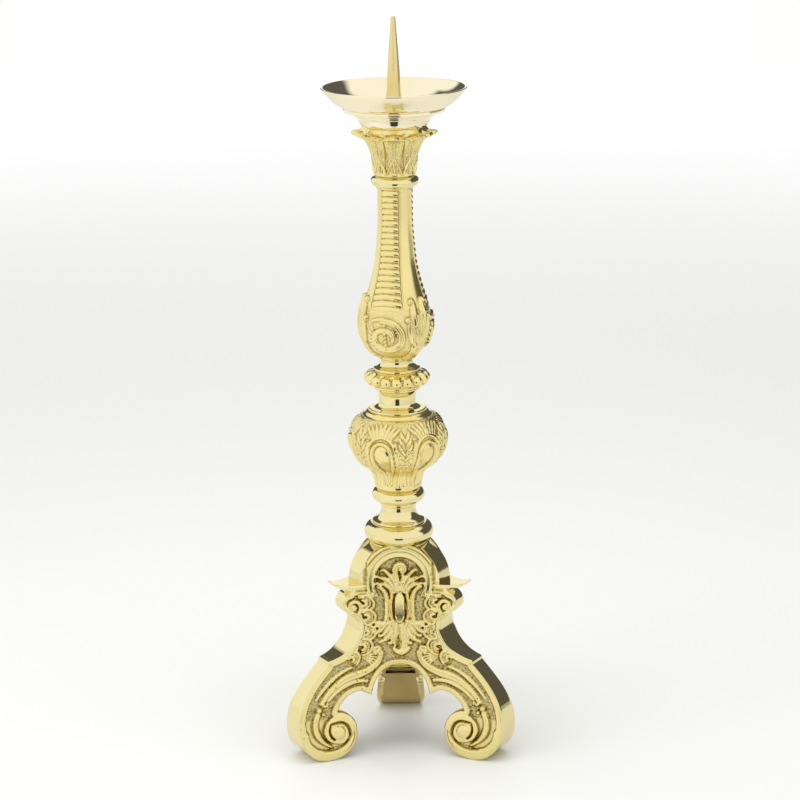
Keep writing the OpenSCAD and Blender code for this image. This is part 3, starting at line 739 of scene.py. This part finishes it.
def drawPanel(sheet, edge):
    x, z, ground = sheet.x, sheet.y, faceSettings["ground"]
    radius = np.hypot(x, z - archHeight)
    rim = smooth(4.3, 3.6, edge)
    sheet.h = ground * (1 - rim)
    upper = z > 122
    moulding = np.interp(radius, (0, 18.2, 18.9, 20.2, 22.6, 25.3, 25.9, 26.4, 26.9, 27.8, 28.6, 29),
                         (ground - 0.5, ground - 0.5, -0.3, -0.8, -1.3, -0.5, -1.5, -1.5, 0.1, 0.6, 0.2,
                          -0.6))
    sheet.h = np.where(upper & (radius < 30), moulding, sheet.h)
    sheet.shine = np.where(rim > 0.5, 0.9, 0.0)
    sheet.shine = np.where(upper & (radius > 18.5), 0.9, sheet.shine)
    lip = (z > 124.4) & (np.abs(x) > 24) & (radius > 25) & (edge > -1)
    sheet.h = np.where(lip, -1.0 - 2.2 * smooth(124.4, 128.8, z), sheet.h)
    sheet.shine = np.where(lip, 0.2, sheet.shine)
    foot = (np.abs(z - 123.2) < 1.3) & (np.abs(x) > 18.6) & (np.abs(x) < 31)
    sheet.h = np.where(foot, 0.5, sheet.h)
    sheet.h += 0.55 * np.exp(-((edge - 3.6) / 0.7) ** 2) * (z < 120)

    def pair(draw):
        for side in (-1, 1):
            draw(side)

    def straps(side):
        sheet.ridge(sided(side, (15.5, 130), (9.8, 127), (8.6, 120), (9.2, 110), 12)
                    + sided(side, (9.4, 108), (9.8, 101), (12, 95.5), (18.4, 94.8), 10),
                    (1.6, 2.3, 1.4), (2.6, 3.3, 2.6), shine=0.9, veins=1)
        sheet.scroll(side * 16.6, 98.0, 3.6, 1.3, -70 if side > 0 else 250, side * 300, (1.4, 1.4, 1.0),
                     (2.6, 2.8, 2.4), shine=0.9)
        for top, tipX, tipZ, wide in ((104, 15.4, 92.0, 2.1), (101, 11.8, 88.6, 2.1), (98, 8.2, 86.0, 1.9)):
            sheet.ridge(curve((side * 5.5, top), (side * 7.5, top - 5), (side * (tipX - 5), tipZ + 0.6),
                              (side * tipX, tipZ), 9), (1.4, wide, 1.1), (2.0, 3.0, 2.9), shine=0.7,
                        veins=1)
            sheet.bead(side * tipX, tipZ + 0.6, 1.5, 3.1)
        sheet.ridge(sided(side, (5.2, 128), (6.4, 118), (6.6, 108), (4.4, 98), 10),
                    (1.2, 1.9, 1.2), (2.2, 2.9, 2.4), shine=0.6, veins=1)

    def crown(side):
        for foot, hip, tip, wide in (((1.6, 126), (4.5, 137), (12.6, 142.2), 2.3),
                                     ((3.4, 125.5), (7.5, 134), (17.6, 137.4), 2.3),
                                     ((5.6, 125), (10.5, 130.5), (17.2, 132.2), 2.0)):
            sheet.ridge(curve((side * foot[0], foot[1]), (side * (foot[0] + 1), foot[1] + 5),
                              (side * (hip[0] + 0.5), hip[1] + 2), (side * tip[0], tip[1]), 10),
                        (1.7, wide, 0.9), (2.2, 3.4, 2.6), shine=0.6, veins=1)
            sheet.ridge(curve((side * (tip[0] - 4), tip[1] - 1.4), (side * (tip[0] - 1.5), tip[1] + 1.2),
                              (side * (tip[0] + 0.8), tip[1] + 0.6), (side * (tip[0] + 1.2), tip[1] - 1.2),
                              7),
                        (0.9, 1.3, 0.7), (2.8, 3.3, 2.4), shine=0.8)

    def shells(side):
        for cx, cz, tall, out, lean in ((27.5, 118.0, 6.0, 8.6, 14), (25.4, 107.0, 5.9, 7.4, -4),
                                        (26.0, 95.6, 6.0, 8.0, 6), (28.4, 84.4, 6.1, 8.0, -16),
                                        (36.5, 75.4, 5.6, 7.0, -46)):
            turn = math.radians(lean)

            def place(u, v):  # u runs in from the leg, v up
                return (side * (cx - u * math.cos(turn) - v * math.sin(turn)),
                        cz - u * math.sin(turn) + v * math.cos(turn))

            def lobe(share, width, height, shine):
                line = [place(share * out * math.cos(math.radians(a)),
                              share * tall * math.sin(math.radians(a)))
                        for a in range(-98, 99, 7)]
                sheet.ridge(line, (width * 0.7, width, width * 0.7), (height * 0.8, height, height * 0.75),
                            shine=shine)
                return line

            hollow = np.hypot(x - side * (cx - out * 0.4), z - cz)
            sheet.h = np.where(hollow < tall - 0.5, np.minimum(sheet.h, ground - 1.0), sheet.h)
            lobe(0.34, 1.7, 2.5, 0.8)
            lobe(0.68, 1.0, 1.5, 0.5)
            rimLine = lobe(1.0, 1.45, 3.1, 1.0)
            sheet.bead(rimLine[-1][0], rimLine[-1][1] - 1.2, 1.7, 3.0)

    def shoulder(side):
        hollow = np.hypot(x - side * 34.2, z - 116)
        sheet.h = np.where(hollow < 6.0, np.minimum(sheet.h, ground - 0.4), sheet.h)
        sheet.shine = np.where(hollow < 6.0, 0.0, sheet.shine)
        sheet.scroll(side * 34, 115.4, 6.2, 1.8, 230 if side > 0 else -50, side * -400, (1.8, 1.7, 1.1),
                     (2.1, 2.3, 2.1), eye=2.2, shine=1.0)

    def cScroll(side):
        sheet.scroll(side * 16.4, 81.8, 3.4, 1.2, -60 if side > 0 else 240, side * 420, (1.3, 1.3, 0.9),
                     (2.5, 2.6, 2.2), eye=1.4, shine=0.9)
        sheet.ridge(sided(side, (14, 79.5), (15, 71), (22, 67), (30, 64.5), 12)
                    + sided(side, (31, 64.2), (42, 62.5), (52, 56), (58.5, 45), 14),
                    (2.2, 3.5, 1.6), (2.8, 3.5, 2.6), shine=0.9, crease=0.3)
        sheet.ridge(sided(side, (25, 58.6), (34, 60.4), (44.5, 57.4), (53.5, 46.6), 12),
                    (1.5, 2.2, 1.4), (2.4, 2.9, 2.2), shine=0.9, crease=0.1)
        sheet.ridge(sided(side, (36, 69.5), (46, 67), (56, 58.5), (62.5, 48), 12),
                    (1.0, 1.8, 0.9), (1.6, 2.2, 1.6), shine=0.7, crease=0.2)
        sheet.bead(side * 25.2, 58.6, 1.8, 2.6)
        sheet.scroll(side * 55.4, 44.2, 3.0, 1.2, 80 if side > 0 else 100, side * -260, (1.3, 1.3, 0.9),
                     (2.2, 2.4, 2.0), shine=0.9)
        for k in range(6):
            lean = math.radians(120 + 17 * k)
            sheet.ridge([(side * (26 - 2 * math.cos(lean)), 78 - 2 * math.sin(lean)),
                         (side * (25 + 8.5 * math.cos(lean)), 77.5 - 8.5 * math.sin(lean))],
                        (0.5, 0.8, 0.6), (1.0, 1.4, 1.0), shine=0.4)

    def skirt(side):
        sheet.ridge(sided(side, (4.6, 104), (9, 100.4), (14, 100), (19.6, 103.6), 10),
                    (1.4, 2.5, 1.4), (2.0, 2.9, 2.5), shine=0.8, veins=1)
        sheet.ridge(sided(side, (4, 97), (7.5, 93.4), (10.5, 88.8), (15, 87.6), 10),
                    (1.4, 2.4, 1.3), (2.0, 2.8, 2.4), shine=0.8, veins=1)

    for draw in (shells, shoulder, cScroll, skirt, crown, straps):
        pair(draw)
    sheet.ridge(curve((0.2, 105), (1.2, 98), (4.6, 92), (2.6, 82), 14), (2.2, 3.9, 3.2), (2.8, 3.4, 3.0),
                shine=0.8, veins=2)
    sheet.ridge(curve((-4.6, 82.6), (-3.2, 79.4), (3.6, 78.6), (6.4, 82.8), 12), (1.6, 3.1, 1.9),
                (2.8, 4.0, 3.1),
                shine=0.9)
    sheet.ridge(curve((-1.8, 104), (-2.4, 98), (-4.2, 92), (-3.6, 85), 12), (1.5, 2.4, 1.4),
                (2.4, 3.0, 2.4),
                shine=0.7, veins=1)
    sheet.ridge(curve((-2.6, 143), (-3.4, 138), (-2.2, 132), (-0.6, 126), 10), (2.0, 2.6, 1.8),
                (3.2, 3.5, 2.6),
                shine=0.9, veins=1)
    sheet.ridge(curve((2.6, 138.5), (3.0, 135), (2.0, 131), (1.0, 127), 8), (1.3, 2.1, 1.6),
                (2.4, 3.1, 2.6),
                shine=0.8, veins=1)
    sheet.scroll(1.2, 142.6, 4.7, 2.2, 190, -260, (2.4, 2.7, 1.8), (3.2, 3.9, 3.3), eye=2.1, shine=1.0)
    sheet.bead(0, 128, 2.4, 3.0, shine=0.9)
    where = (np.abs(x) < 5.2) & (z > 101) & (z < 126)
    tall = np.clip((z - 113.6) / 11.2, -1, 1)
    wide = 4.0 * np.clip(1 - np.abs(tall) ** 3.4, 0, 1) ** 0.42
    q = np.where(where & (wide > 0.1), np.abs(x) / np.maximum(wide, 0.1), 2)
    dome = np.minimum(1, 1.6 * np.sqrt(np.clip(1 - q * q, 0, 1)))
    stone = ground + 2.6 + 1.5 * dome - 0.78 * tall ** 2 - 0.7 * tall
    sheet.h = np.where(q < 1, np.maximum(stone, sheet.h), sheet.h)
    sheet.shine = np.where(q < 1, 1.5, sheet.shine)
    sheet.groove([(0.1 + 4.9 * math.sin(a / 10), 113.6 + 12.3 * math.cos(a / 10)) for a in range(0, 64, 2)],
                 (0.5, 0.5, 0.5), 0.8)

    def volute(side):
        disc = np.hypot(x - side * 46.0, z - 23.6)
        eye = np.hypot(x - side * 46.8, z - 21.3)
        near = (z < 41) & (side * x > 28)
        crescent = np.hypot(x - side * 54.0, z - 22.6)
        sunk = (edge > 4.3) & (crescent < 14.2 + 12 * smooth(22, 36, z)) & (disc > 11.2) & (side * x > 44)
        sheet.h = np.where(near & ~sunk, 0, sheet.h)
        plain = near & sunk & (sheet.h < ground + 0.1)
        sheet.h = np.where(plain, ground - 0.5 - 0.5 * smooth(36, 28, z), sheet.h)
        sheet.shine = np.where(near & (z < 36), 0.8, sheet.shine)
        sheet.ridge(sided(side, (61.6, 36.5), (66, 27), (62, 16), (51.5, 10.6), 12),
                    (2.3, 2.5, 0.9), (2.9, 3.1, 1.4), shine=0.9)
        rolled = 0.9 * np.sqrt(np.clip(1 - ((disc - 7.6) / 4.0) ** 2, 0, 1))
        sheet.h = np.where(near & (disc < 11.2), rolled, sheet.h)
        sheet.groove([(side * (46.8 + u), 21.3 + v) for u, v in
                      curve((9.5, -12.6), (4, -14.2), (-4, -12), (-7.4, -6.4), 8)
                      + curve((-8.8, -4), (-9.2, 4), (-4.6, 8.2), (0.4, 7.6), 10)
                      + curve((5.4, 6.8), (7.6, 1.0), (5.8, -3.4), (2.6, -5.4), 10)],
                     (1.3, 1.35, 0.8), 2.9)
        dome = 0.6 + 1.7 * np.sqrt(np.clip(1 - (eye / 5.0) ** 2, 0, 1)) ** 0.7
        sheet.h = np.where(near & (eye < 5.0), dome, sheet.h)
        sheet.bead(side * 60.6, 40.2, 2.4, 3.4)
        sheet.bead(side * 57.3, 36.6, 1.6, 2.6)

    pair(volute)
    border = smooth(3.3, 2.7, edge) * smooth(41, 44, z) * smooth(110, 107, z)
    sheet.h = sheet.h * (1 - border)
    sheet.shine = np.where(border > 0.5, 0.9, sheet.shine)
    grain = blurred(np.random.default_rng(4).standard_normal(x.shape), 2)
    flat = smooth(0.3, 0.1, np.abs(sheet.h - ground)) + smooth(0.3, 0.1, np.abs(sheet.h - ground + 0.5))
    sheet.h += 0.55 * grain * np.clip(flat, 0, 1) * smooth(4, 4.8, edge)
    sheet.h -= 1.0 * (1 - np.sqrt(np.clip(1 - (1 - np.clip(edge / 1.7, 0, 1)) ** 2, 0, 1)))
    return blurred(np.clip(flat, 0, 1) * (edge > 4), 2)


def buildPanel():
    spacing, thick = faceSettings["spacing"], faceSettings["thick"]
    columns = np.arange(-76, 76 + spacing / 2, spacing)
    rows = np.arange(-0.5, 162.6, spacing)
    x, z = np.meshgrid(columns, rows)
    edge = sideDistance(panelEdge, x, z)
    moved = np.abs(edge) < spacing * 0.62
    nearX, nearZ = nearestOnEdge(panelEdge, x[moved], z[moved])
    x[moved], z[moved] = nearX, nearZ
    edge[moved] = 0
    sheet = Relief(x, z, faceSettings["ground"])
    matted = drawPanel(sheet, edge)
    sheet.h = blurred(sheet.h, 1)
    # painted shade for the hollows, which the metal mixes into the colour
    hollow = hollowShadeOf(sheet.h, 1.1, 14)
    keep = edge > -1e-6
    index = -np.ones(x.shape, int)
    index[keep] = np.arange(keep.sum())
    nx, ny, nz = faceNormal(x[keep])
    y = faceY(x[keep], z[keep])
    rise = sheet.h[keep]
    front = np.stack([x[keep] + nx * rise, y + ny * rise, np.maximum(z[keep] + nz * rise, 0)], 1)
    inRoll = smooth(56, 50, z[keep]) * smooth(64, 56, np.abs(x[keep])) * smooth(20, 36, np.abs(x[keep]))
    slant = np.sign(x[keep]) * thick * math.tan(math.radians(30)) * inRoll  # there it runs across the leg
    back = np.stack([x[keep] + slant, y + thick / math.cos(faceSettings["lean"]) * 0.98, z[keep]], 1)
    count = len(front)
    faces = []
    border = {}
    low, right, up, across = index[:-1, :-1], index[:-1, 1:], index[1:, 1:], index[1:, :-1]
    for a, b, c, d in zip(low.ravel(), right.ravel(), up.ravel(), across.ravel()):
        corners = [v for v in (a, b, c, d) if v >= 0]
        if len(corners) < 3:
            continue
        faces.append(tuple(corners))
        for i, first in enumerate(corners):
            second = corners[(i + 1) % len(corners)]
            if border.pop((second, first), None) is None:
                border[(first, second)] = True
    faces += [tuple(v + count for v in reversed(face)) for face in faces]
    faces += [(b, a, a + count, b + count) for a, b in border]
    values = {"hollow": np.concatenate([hollow[keep], np.zeros(count)]),
              "shine": np.concatenate([sheet.shine[keep], np.zeros(count)]),
              "matted": np.concatenate([matted[keep], np.zeros(count)])}
    return np.concatenate([front, back]), faces, values


def turned(points, degrees):
    a = math.radians(degrees)
    spin = np.array([[math.cos(a), math.sin(a), 0], [-math.sin(a), math.cos(a), 0], [0, 0, 1]])
    return np.asarray(points) @ spin


panelPoints, panelFaces, panelValues = buildPanel()
for pieceName, node, degrees in (("frontPanel", "front_panel", 0), ("rightPanel", "right_panel", 120),
                                 ("leftPanel", "left_panel", 240)):
    addPiece(pieceName, turned(panelPoints, degrees), panelFaces, chasedBrass, replaces=(node,),
             slot="chased_brass", sharp=50, values=panelValues)
print("panels ready", len(panelFaces))


# the legs: a band, a body, a hood and a cap for each
legSettings = {"archGap": 0.8, "gap": 0.55, "skin": 2.6, "proud": 0.1, "inset": 5.06, "arris": 0.95,
               "rows": 11,
               "hoodWidest": 60, "hoodSteps": 600, "castReach": 0.0605, "castLow": 0.003, "castHigh": 0.05}
hoodLine = curve((13.4, 160), (26, 158), (37.6, 151), (39.2, 134), 16)
innerLine = ([(66, 40)] + curve((76, 42), (82.8, 42), (81.8, 49), (78, 54)) + [(64, 66.5), (60, 69.6)]
             + curve((52, 71), (42, 77), (38.4, 84), (36, 90)) + [(33, 98), (33, 106), (38, 118), (38, 124),
                                                                  (33, 130),
                                                               (32, 146), (19, 146), (17, 150),
                                                                  (14.5, 153)])


def normalsOf(line):
    tangent = np.gradient(line, axis=0)
    size = np.hypot(tangent[:, 0], tangent[:, 1])
    return np.stack([-tangent[:, 1] / size, tangent[:, 0] / size], 1)


def legBand(degrees):  # the polished outer band, from face to face
    line = resampled(softened(legLine, 0.5), 0.8)
    outward = normalsOf(line)
    reach, z = line[:, 0], line[:, 1]
    half = halfWidth(reach, z) - legSettings["gap"]
    across = [(-1.0, -legSettings["skin"]), (-1.0, -legSettings["arris"]), (-0.982, -0.42), (-0.955, -0.08)]
    across += [(t, legSettings["proud"]) for t in np.linspace(-0.91, 0.91, legSettings["rows"])]
    across += [(0.955, -0.08), (0.982, -0.42), (1.0, -legSettings["arris"]), (1.0, -legSettings["skin"])]
    rows = []
    for place, rise in across:
        radial = reach + outward[:, 0] * rise
        height = np.maximum(z + outward[:, 1] * rise, 0)
        rows.append(np.stack([radial, place * half, height], 1))
    count = len(line)
    points = np.concatenate(rows)
    faces = gridFaces(len(rows), count, closeRows=True, flip=True)
    last = [i * count for i in range(len(rows))]
    faces.append(tuple(last))
    faces.append(tuple(i + count - 1 for i in reversed(last)))
    return turned(points, degrees), faces


def endCapped(rows, degrees):  # joins equal loops into a solid, turned to the bearing of its leg
    count = len(rows[0])
    faces = gridFaces(len(rows), count, closeColumns=True, flip=True)
    faces.append(tuple(range(count)))
    faces.append(tuple(reversed([(len(rows) - 1) * count + i for i in range(count)])))
    return turned(np.concatenate(rows), degrees), faces


def legBody(degrees):  # the solid behind the band, set in behind the panels
    loop = np.array(tidyLine(legLine[:-1] + [(62, 36.8)] + innerLine[:-5] + [(33, 130), (44, capHeight)],
                             0.05))
    centre = loop.mean(0)
    toward = centre - loop
    loop = loop + 0.6 * toward / np.maximum(np.hypot(toward[:, 0], toward[:, 1])[:, None], 1)
    half = np.maximum(halfWidth(loop[:, 0], loop[:, 1]) - legSettings["inset"], 1.5)
    return endCapped([np.stack([loop[:, 0], t * half, loop[:, 1]], 1) for t in (-1, -0.5, 0, 0.5, 1)],
                     degrees)


def hood(degrees):  # the hollow slope from the boss down to the cap, between two arches
    line = resampled(hoodLine, 0.8)
    under = [(32, 133), (32, 146), (19, 146), (14.5, 153)]
    loop = np.array(list(map(tuple, line)) + [(39, capHeight + 1)] + under)
    reach, z = loop[:, 0], loop[:, 1]
    widest = legSettings["hoodWidest"]
    s = np.linspace(0, widest, legSettings["hoodSteps"])
    limit = []
    for r, height in loop:  # as wide as the arches leave room for
        x = -math.cos(math.radians(30)) * r + 0.5 * s
        y = -0.5 * r - math.cos(math.radians(30)) * s
        face = faceY(np.clip(x, -140, 140), height)
        inArch = np.hypot(x, height - archHeight) < archRadius + legSettings["archGap"]
        inArch = inArch | (height <= capHeight)
        blocked = y < face + np.where(inArch, faceSettings["thick"] * 1.01, -0.01)
        limit.append(s[blocked.argmax()] if blocked.any() else widest)
    limit = np.maximum(np.array(limit) - 0.03, 0.5)
    return endCapped([np.stack([reach, t * limit, z], 1) for t in np.linspace(-1, 1, 9)], degrees)


def capSlab(degrees):
    loop = softened([(36, 131), (54, 131), (57.4, 132.6), (58.6, 134.6), (57, 134.1), (52, 133.2),
                     (46, 132.6),
                     (36, 132.4)], 0.5)
    loop = np.array(loop)
    reach, z = loop[:, 0], loop[:, 1]
    half = halfWidth(reach, z) + 2.4
    rows = []
    centre = np.array([46.5, 132.4])
    for t, shrink in ((-1, 0.25), (-0.99, 0.06), (-0.975, 0), (-0.5, 0), (0, 0), (0.5, 0), (0.975, 0),
                      (0.99, 0.06),
                      (1, 0.25)):
        cut = loop + (centre - loop) * np.array([0.02, 0.5]) * shrink
        rows.append(np.stack([cut[:, 0], t * half, cut[:, 1]], 1))
    return endCapped(rows, degrees)


for side, degrees in (("left", 210), ("right", 330), ("back", 90)):
    node = side + "_leg"
    for part, build in (("Band", legBand), ("Body", legBody), ("Hood", hood), ("Cap", capSlab)):
        points, faces = build(degrees)
        piece = addPiece(side + part, points, faces, polishedBrass,
                         replaces=(node,) if part == "Band" else (),
                         slot="polished_brass", sharp=35)
        if part == "Band":  # the inner side of the foot's roll is left as cast
            piece.data.materials.append(castBrass)
            for face in piece.data.polygons:
                centre = face.center
                bearing = math.radians(degrees)
                reach = centre.x * math.cos(bearing) + centre.y * math.sin(bearing)
                low, high = legSettings["castLow"], legSettings["castHigh"]
                if reach < legSettings["castReach"] and low < centre.z < high:
                    face.material_index = 1
print("legs ready")

# the fastenings keep their shape and get plated steel
for node in ("spider_plate", "tie_rod", "rod_washer", "rod_nut", "lock_nut", "spider_screws"):
    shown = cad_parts[node]
    shown.data.materials.clear()
    shown.data.materials.append(platedSteel)


stageSettings = {  # metres; near to far, the floor fades to a plain glow
    "reach": 4.0, "near": 0.55, "far": 3.4, "floor": (0.79, 0.795, 0.775), "glow": 1.03,
    "patchStart": 0.40, "patchSpread": 0.23, "patch": (0.05, 0.05, 0.045), "edge": 0.02,
    "tent": (1.0, 1.0, 0.99), "tentLevel": 1.06, "darkest": 0.11,
    "rightCloth": (("X", 0.13, 0.19, 0, 1), ("Y", -0.12, 0.02, 0, 1), ("Z", 0.63, 0.75, 1, 0)),
    "leftCloth": (("X", -0.14, -0.20, 0, 1), ("X", -0.56, -0.48, 0, 1), ("Z", 0.65, 0.77, 0.95, 0),
                  ("Y", 0.1, 0.3, 0, 1))}
softboxes = (("overheadSoftbox", (0, -0.1, 1.5), (0, 0, 0.2), (1.2, 1.0), 8),  # place, target, size, watts
             ("leftSoftbox", (-1.3, -0.7, 0.8), (0, 0, 0.25), (0.9, 1.3), 5))
cameraSettings = {"place": (0.0020, -1.754, 0.747), "tilt": 74.7, "roll": -0.64, "lens": 110.475,
                  "sensor": 36}


def floorMaterial():  # pale card, with a dark patch in front that only reflections see
    material = bpy.data.materials.new("paleFloor")
    material.use_nodes = True
    tree = material.node_tree
    card = tree.nodes["Principled BSDF"]
    card.inputs["Base Color"].default_value = (*stageSettings["floor"], 1)
    card.inputs["Roughness"].default_value = 0.6
    card.inputs["Specular IOR Level"].default_value = 0.3
    place = addNode(tree, "TexCoord").outputs["Object"]
    distance = addNode(tree, "VectorMath", {0: place}, operation="LENGTH").outputs["Value"]
    fade = ramp(tree, distance, stageSettings["near"], stageSettings["far"])
    glow = addNode(tree, "Emission", {"Color": (1, 1, 1, 1), "Strength": stageSettings["glow"]})
    lit = addNode(tree, "MixShader", {"Fac": fade, 1: card.outputs[0], 2: glow.outputs[0]})
    split = addNode(tree, "SeparateXYZ", {0: place}).outputs
    start, spread, edge = stageSettings["patchStart"], stageSettings["patchSpread"], stageSettings["edge"]
    ahead = ramp(tree, split["Y"], -start + edge, -start - edge, kind="LINEAR")
    aside = calculate(tree, "ABSOLUTE", calculate(tree, "DIVIDE", split["X"], split["Y"]))
    patch = calculate(tree, "MULTIPLY", ahead,
                      ramp(tree, aside, spread + edge, spread - edge, kind="LINEAR"))
    mirrored = calculate(tree, "MULTIPLY", patch, addNode(tree, "LightPath").outputs["Is Glossy Ray"])
    shade = addNode(tree, "Emission", {"Color": (*stageSettings["patch"], 1)})
    last = addNode(tree, "MixShader", {"Fac": mirrored, 1: lit.outputs[0], 2: shade.outputs[0]})
    tree.links.new(last.outputs[0], tree.nodes["Material Output"].inputs["Surface"])
    return material


def buildFloor():
    turns = 64
    rings = [0.3, 0.7, 1.2, 2.0, 3.0, stageSettings["reach"]]
    angles = np.linspace(0, 2 * math.pi, turns, False)
    points = [(r * math.cos(a), r * math.sin(a), 0) for r in rings for a in angles]
    faces = gridFaces(len(rings), turns, closeColumns=True, flip=True) + [tuple(range(turns))]
    mesh = bpy.data.meshes.new("paleFloor")
    mesh.from_pydata(points, [], faces)
    mesh.materials.append(floorMaterial())
    floor = bpy.data.objects.new("paleFloor", mesh)
    bpy.context.scene.collection.objects.link(floor)


def buildWorld():  # a white tent, with a dark cloth on each side that only reflections see
    world = bpy.data.worlds.new("whiteTent")
    bpy.context.scene.world = world
    world.use_nodes = True
    tree = world.node_tree
    split = addNode(tree, "SeparateXYZ", {0: addNode(tree, "TexCoord").outputs["Generated"]}).outputs

    def cloth(fades):  # each fade is an axis, where it starts and ends, and its two levels
        share = 1.0
        for axis, start, end, first, last in fades:
            share = calculate(tree, "MULTIPLY", share, ramp(tree, split[axis], start, end, first, last))
        return share

    dark = calculate(tree, "MAXIMUM", cloth(stageSettings["rightCloth"]), cloth(stageSettings["leftCloth"]))
    level = calculate(tree, "SUBTRACT", stageSettings["tentLevel"], dark)
    level = calculate(tree, "MAXIMUM", level, stageSettings["darkest"])
    level = calculate(tree, "MAXIMUM", level, addNode(tree, "LightPath").outputs["Is Camera Ray"])
    background = tree.nodes["Background"]
    background.inputs["Color"].default_value = (*stageSettings["tent"], 1)
    tree.links.new(level, background.inputs["Strength"])


def addSoftbox(name, place, target, size, watts):
    light = bpy.data.lights.new(name, "AREA")
    light.shape = "RECTANGLE"
    light.size, light.size_y, light.energy = *size, watts
    lamp = bpy.data.objects.new(name, light)
    lamp.location = place
    lamp.visible_glossy = False
    lamp.rotation_euler = (Vector(target) - Vector(place)).to_track_quat("-Z", "Y").to_euler()
    bpy.context.scene.collection.objects.link(lamp)


def addCamera():
    camera = bpy.data.cameras.new("viewCamera")
    camera.lens, camera.sensor_width = cameraSettings["lens"], cameraSettings["sensor"]
    camera.clip_end = 50
    holder = bpy.data.objects.new("viewCamera", camera)
    holder.location = cameraSettings["place"]
    holder.rotation_mode = "QUATERNION"
    tilt = Quaternion((1, 0, 0), math.radians(cameraSettings["tilt"]))
    holder.rotation_quaternion = tilt @ Quaternion((0, 0, 1), math.radians(cameraSettings["roll"]))
    bpy.context.scene.collection.objects.link(holder)
    bpy.context.scene.camera = holder


buildFloor()
buildWorld()
for box in softboxes:
    addSoftbox(*box)
addCamera()
bpy.context.scene.view_settings.view_transform = "Standard"
print("stage ready")
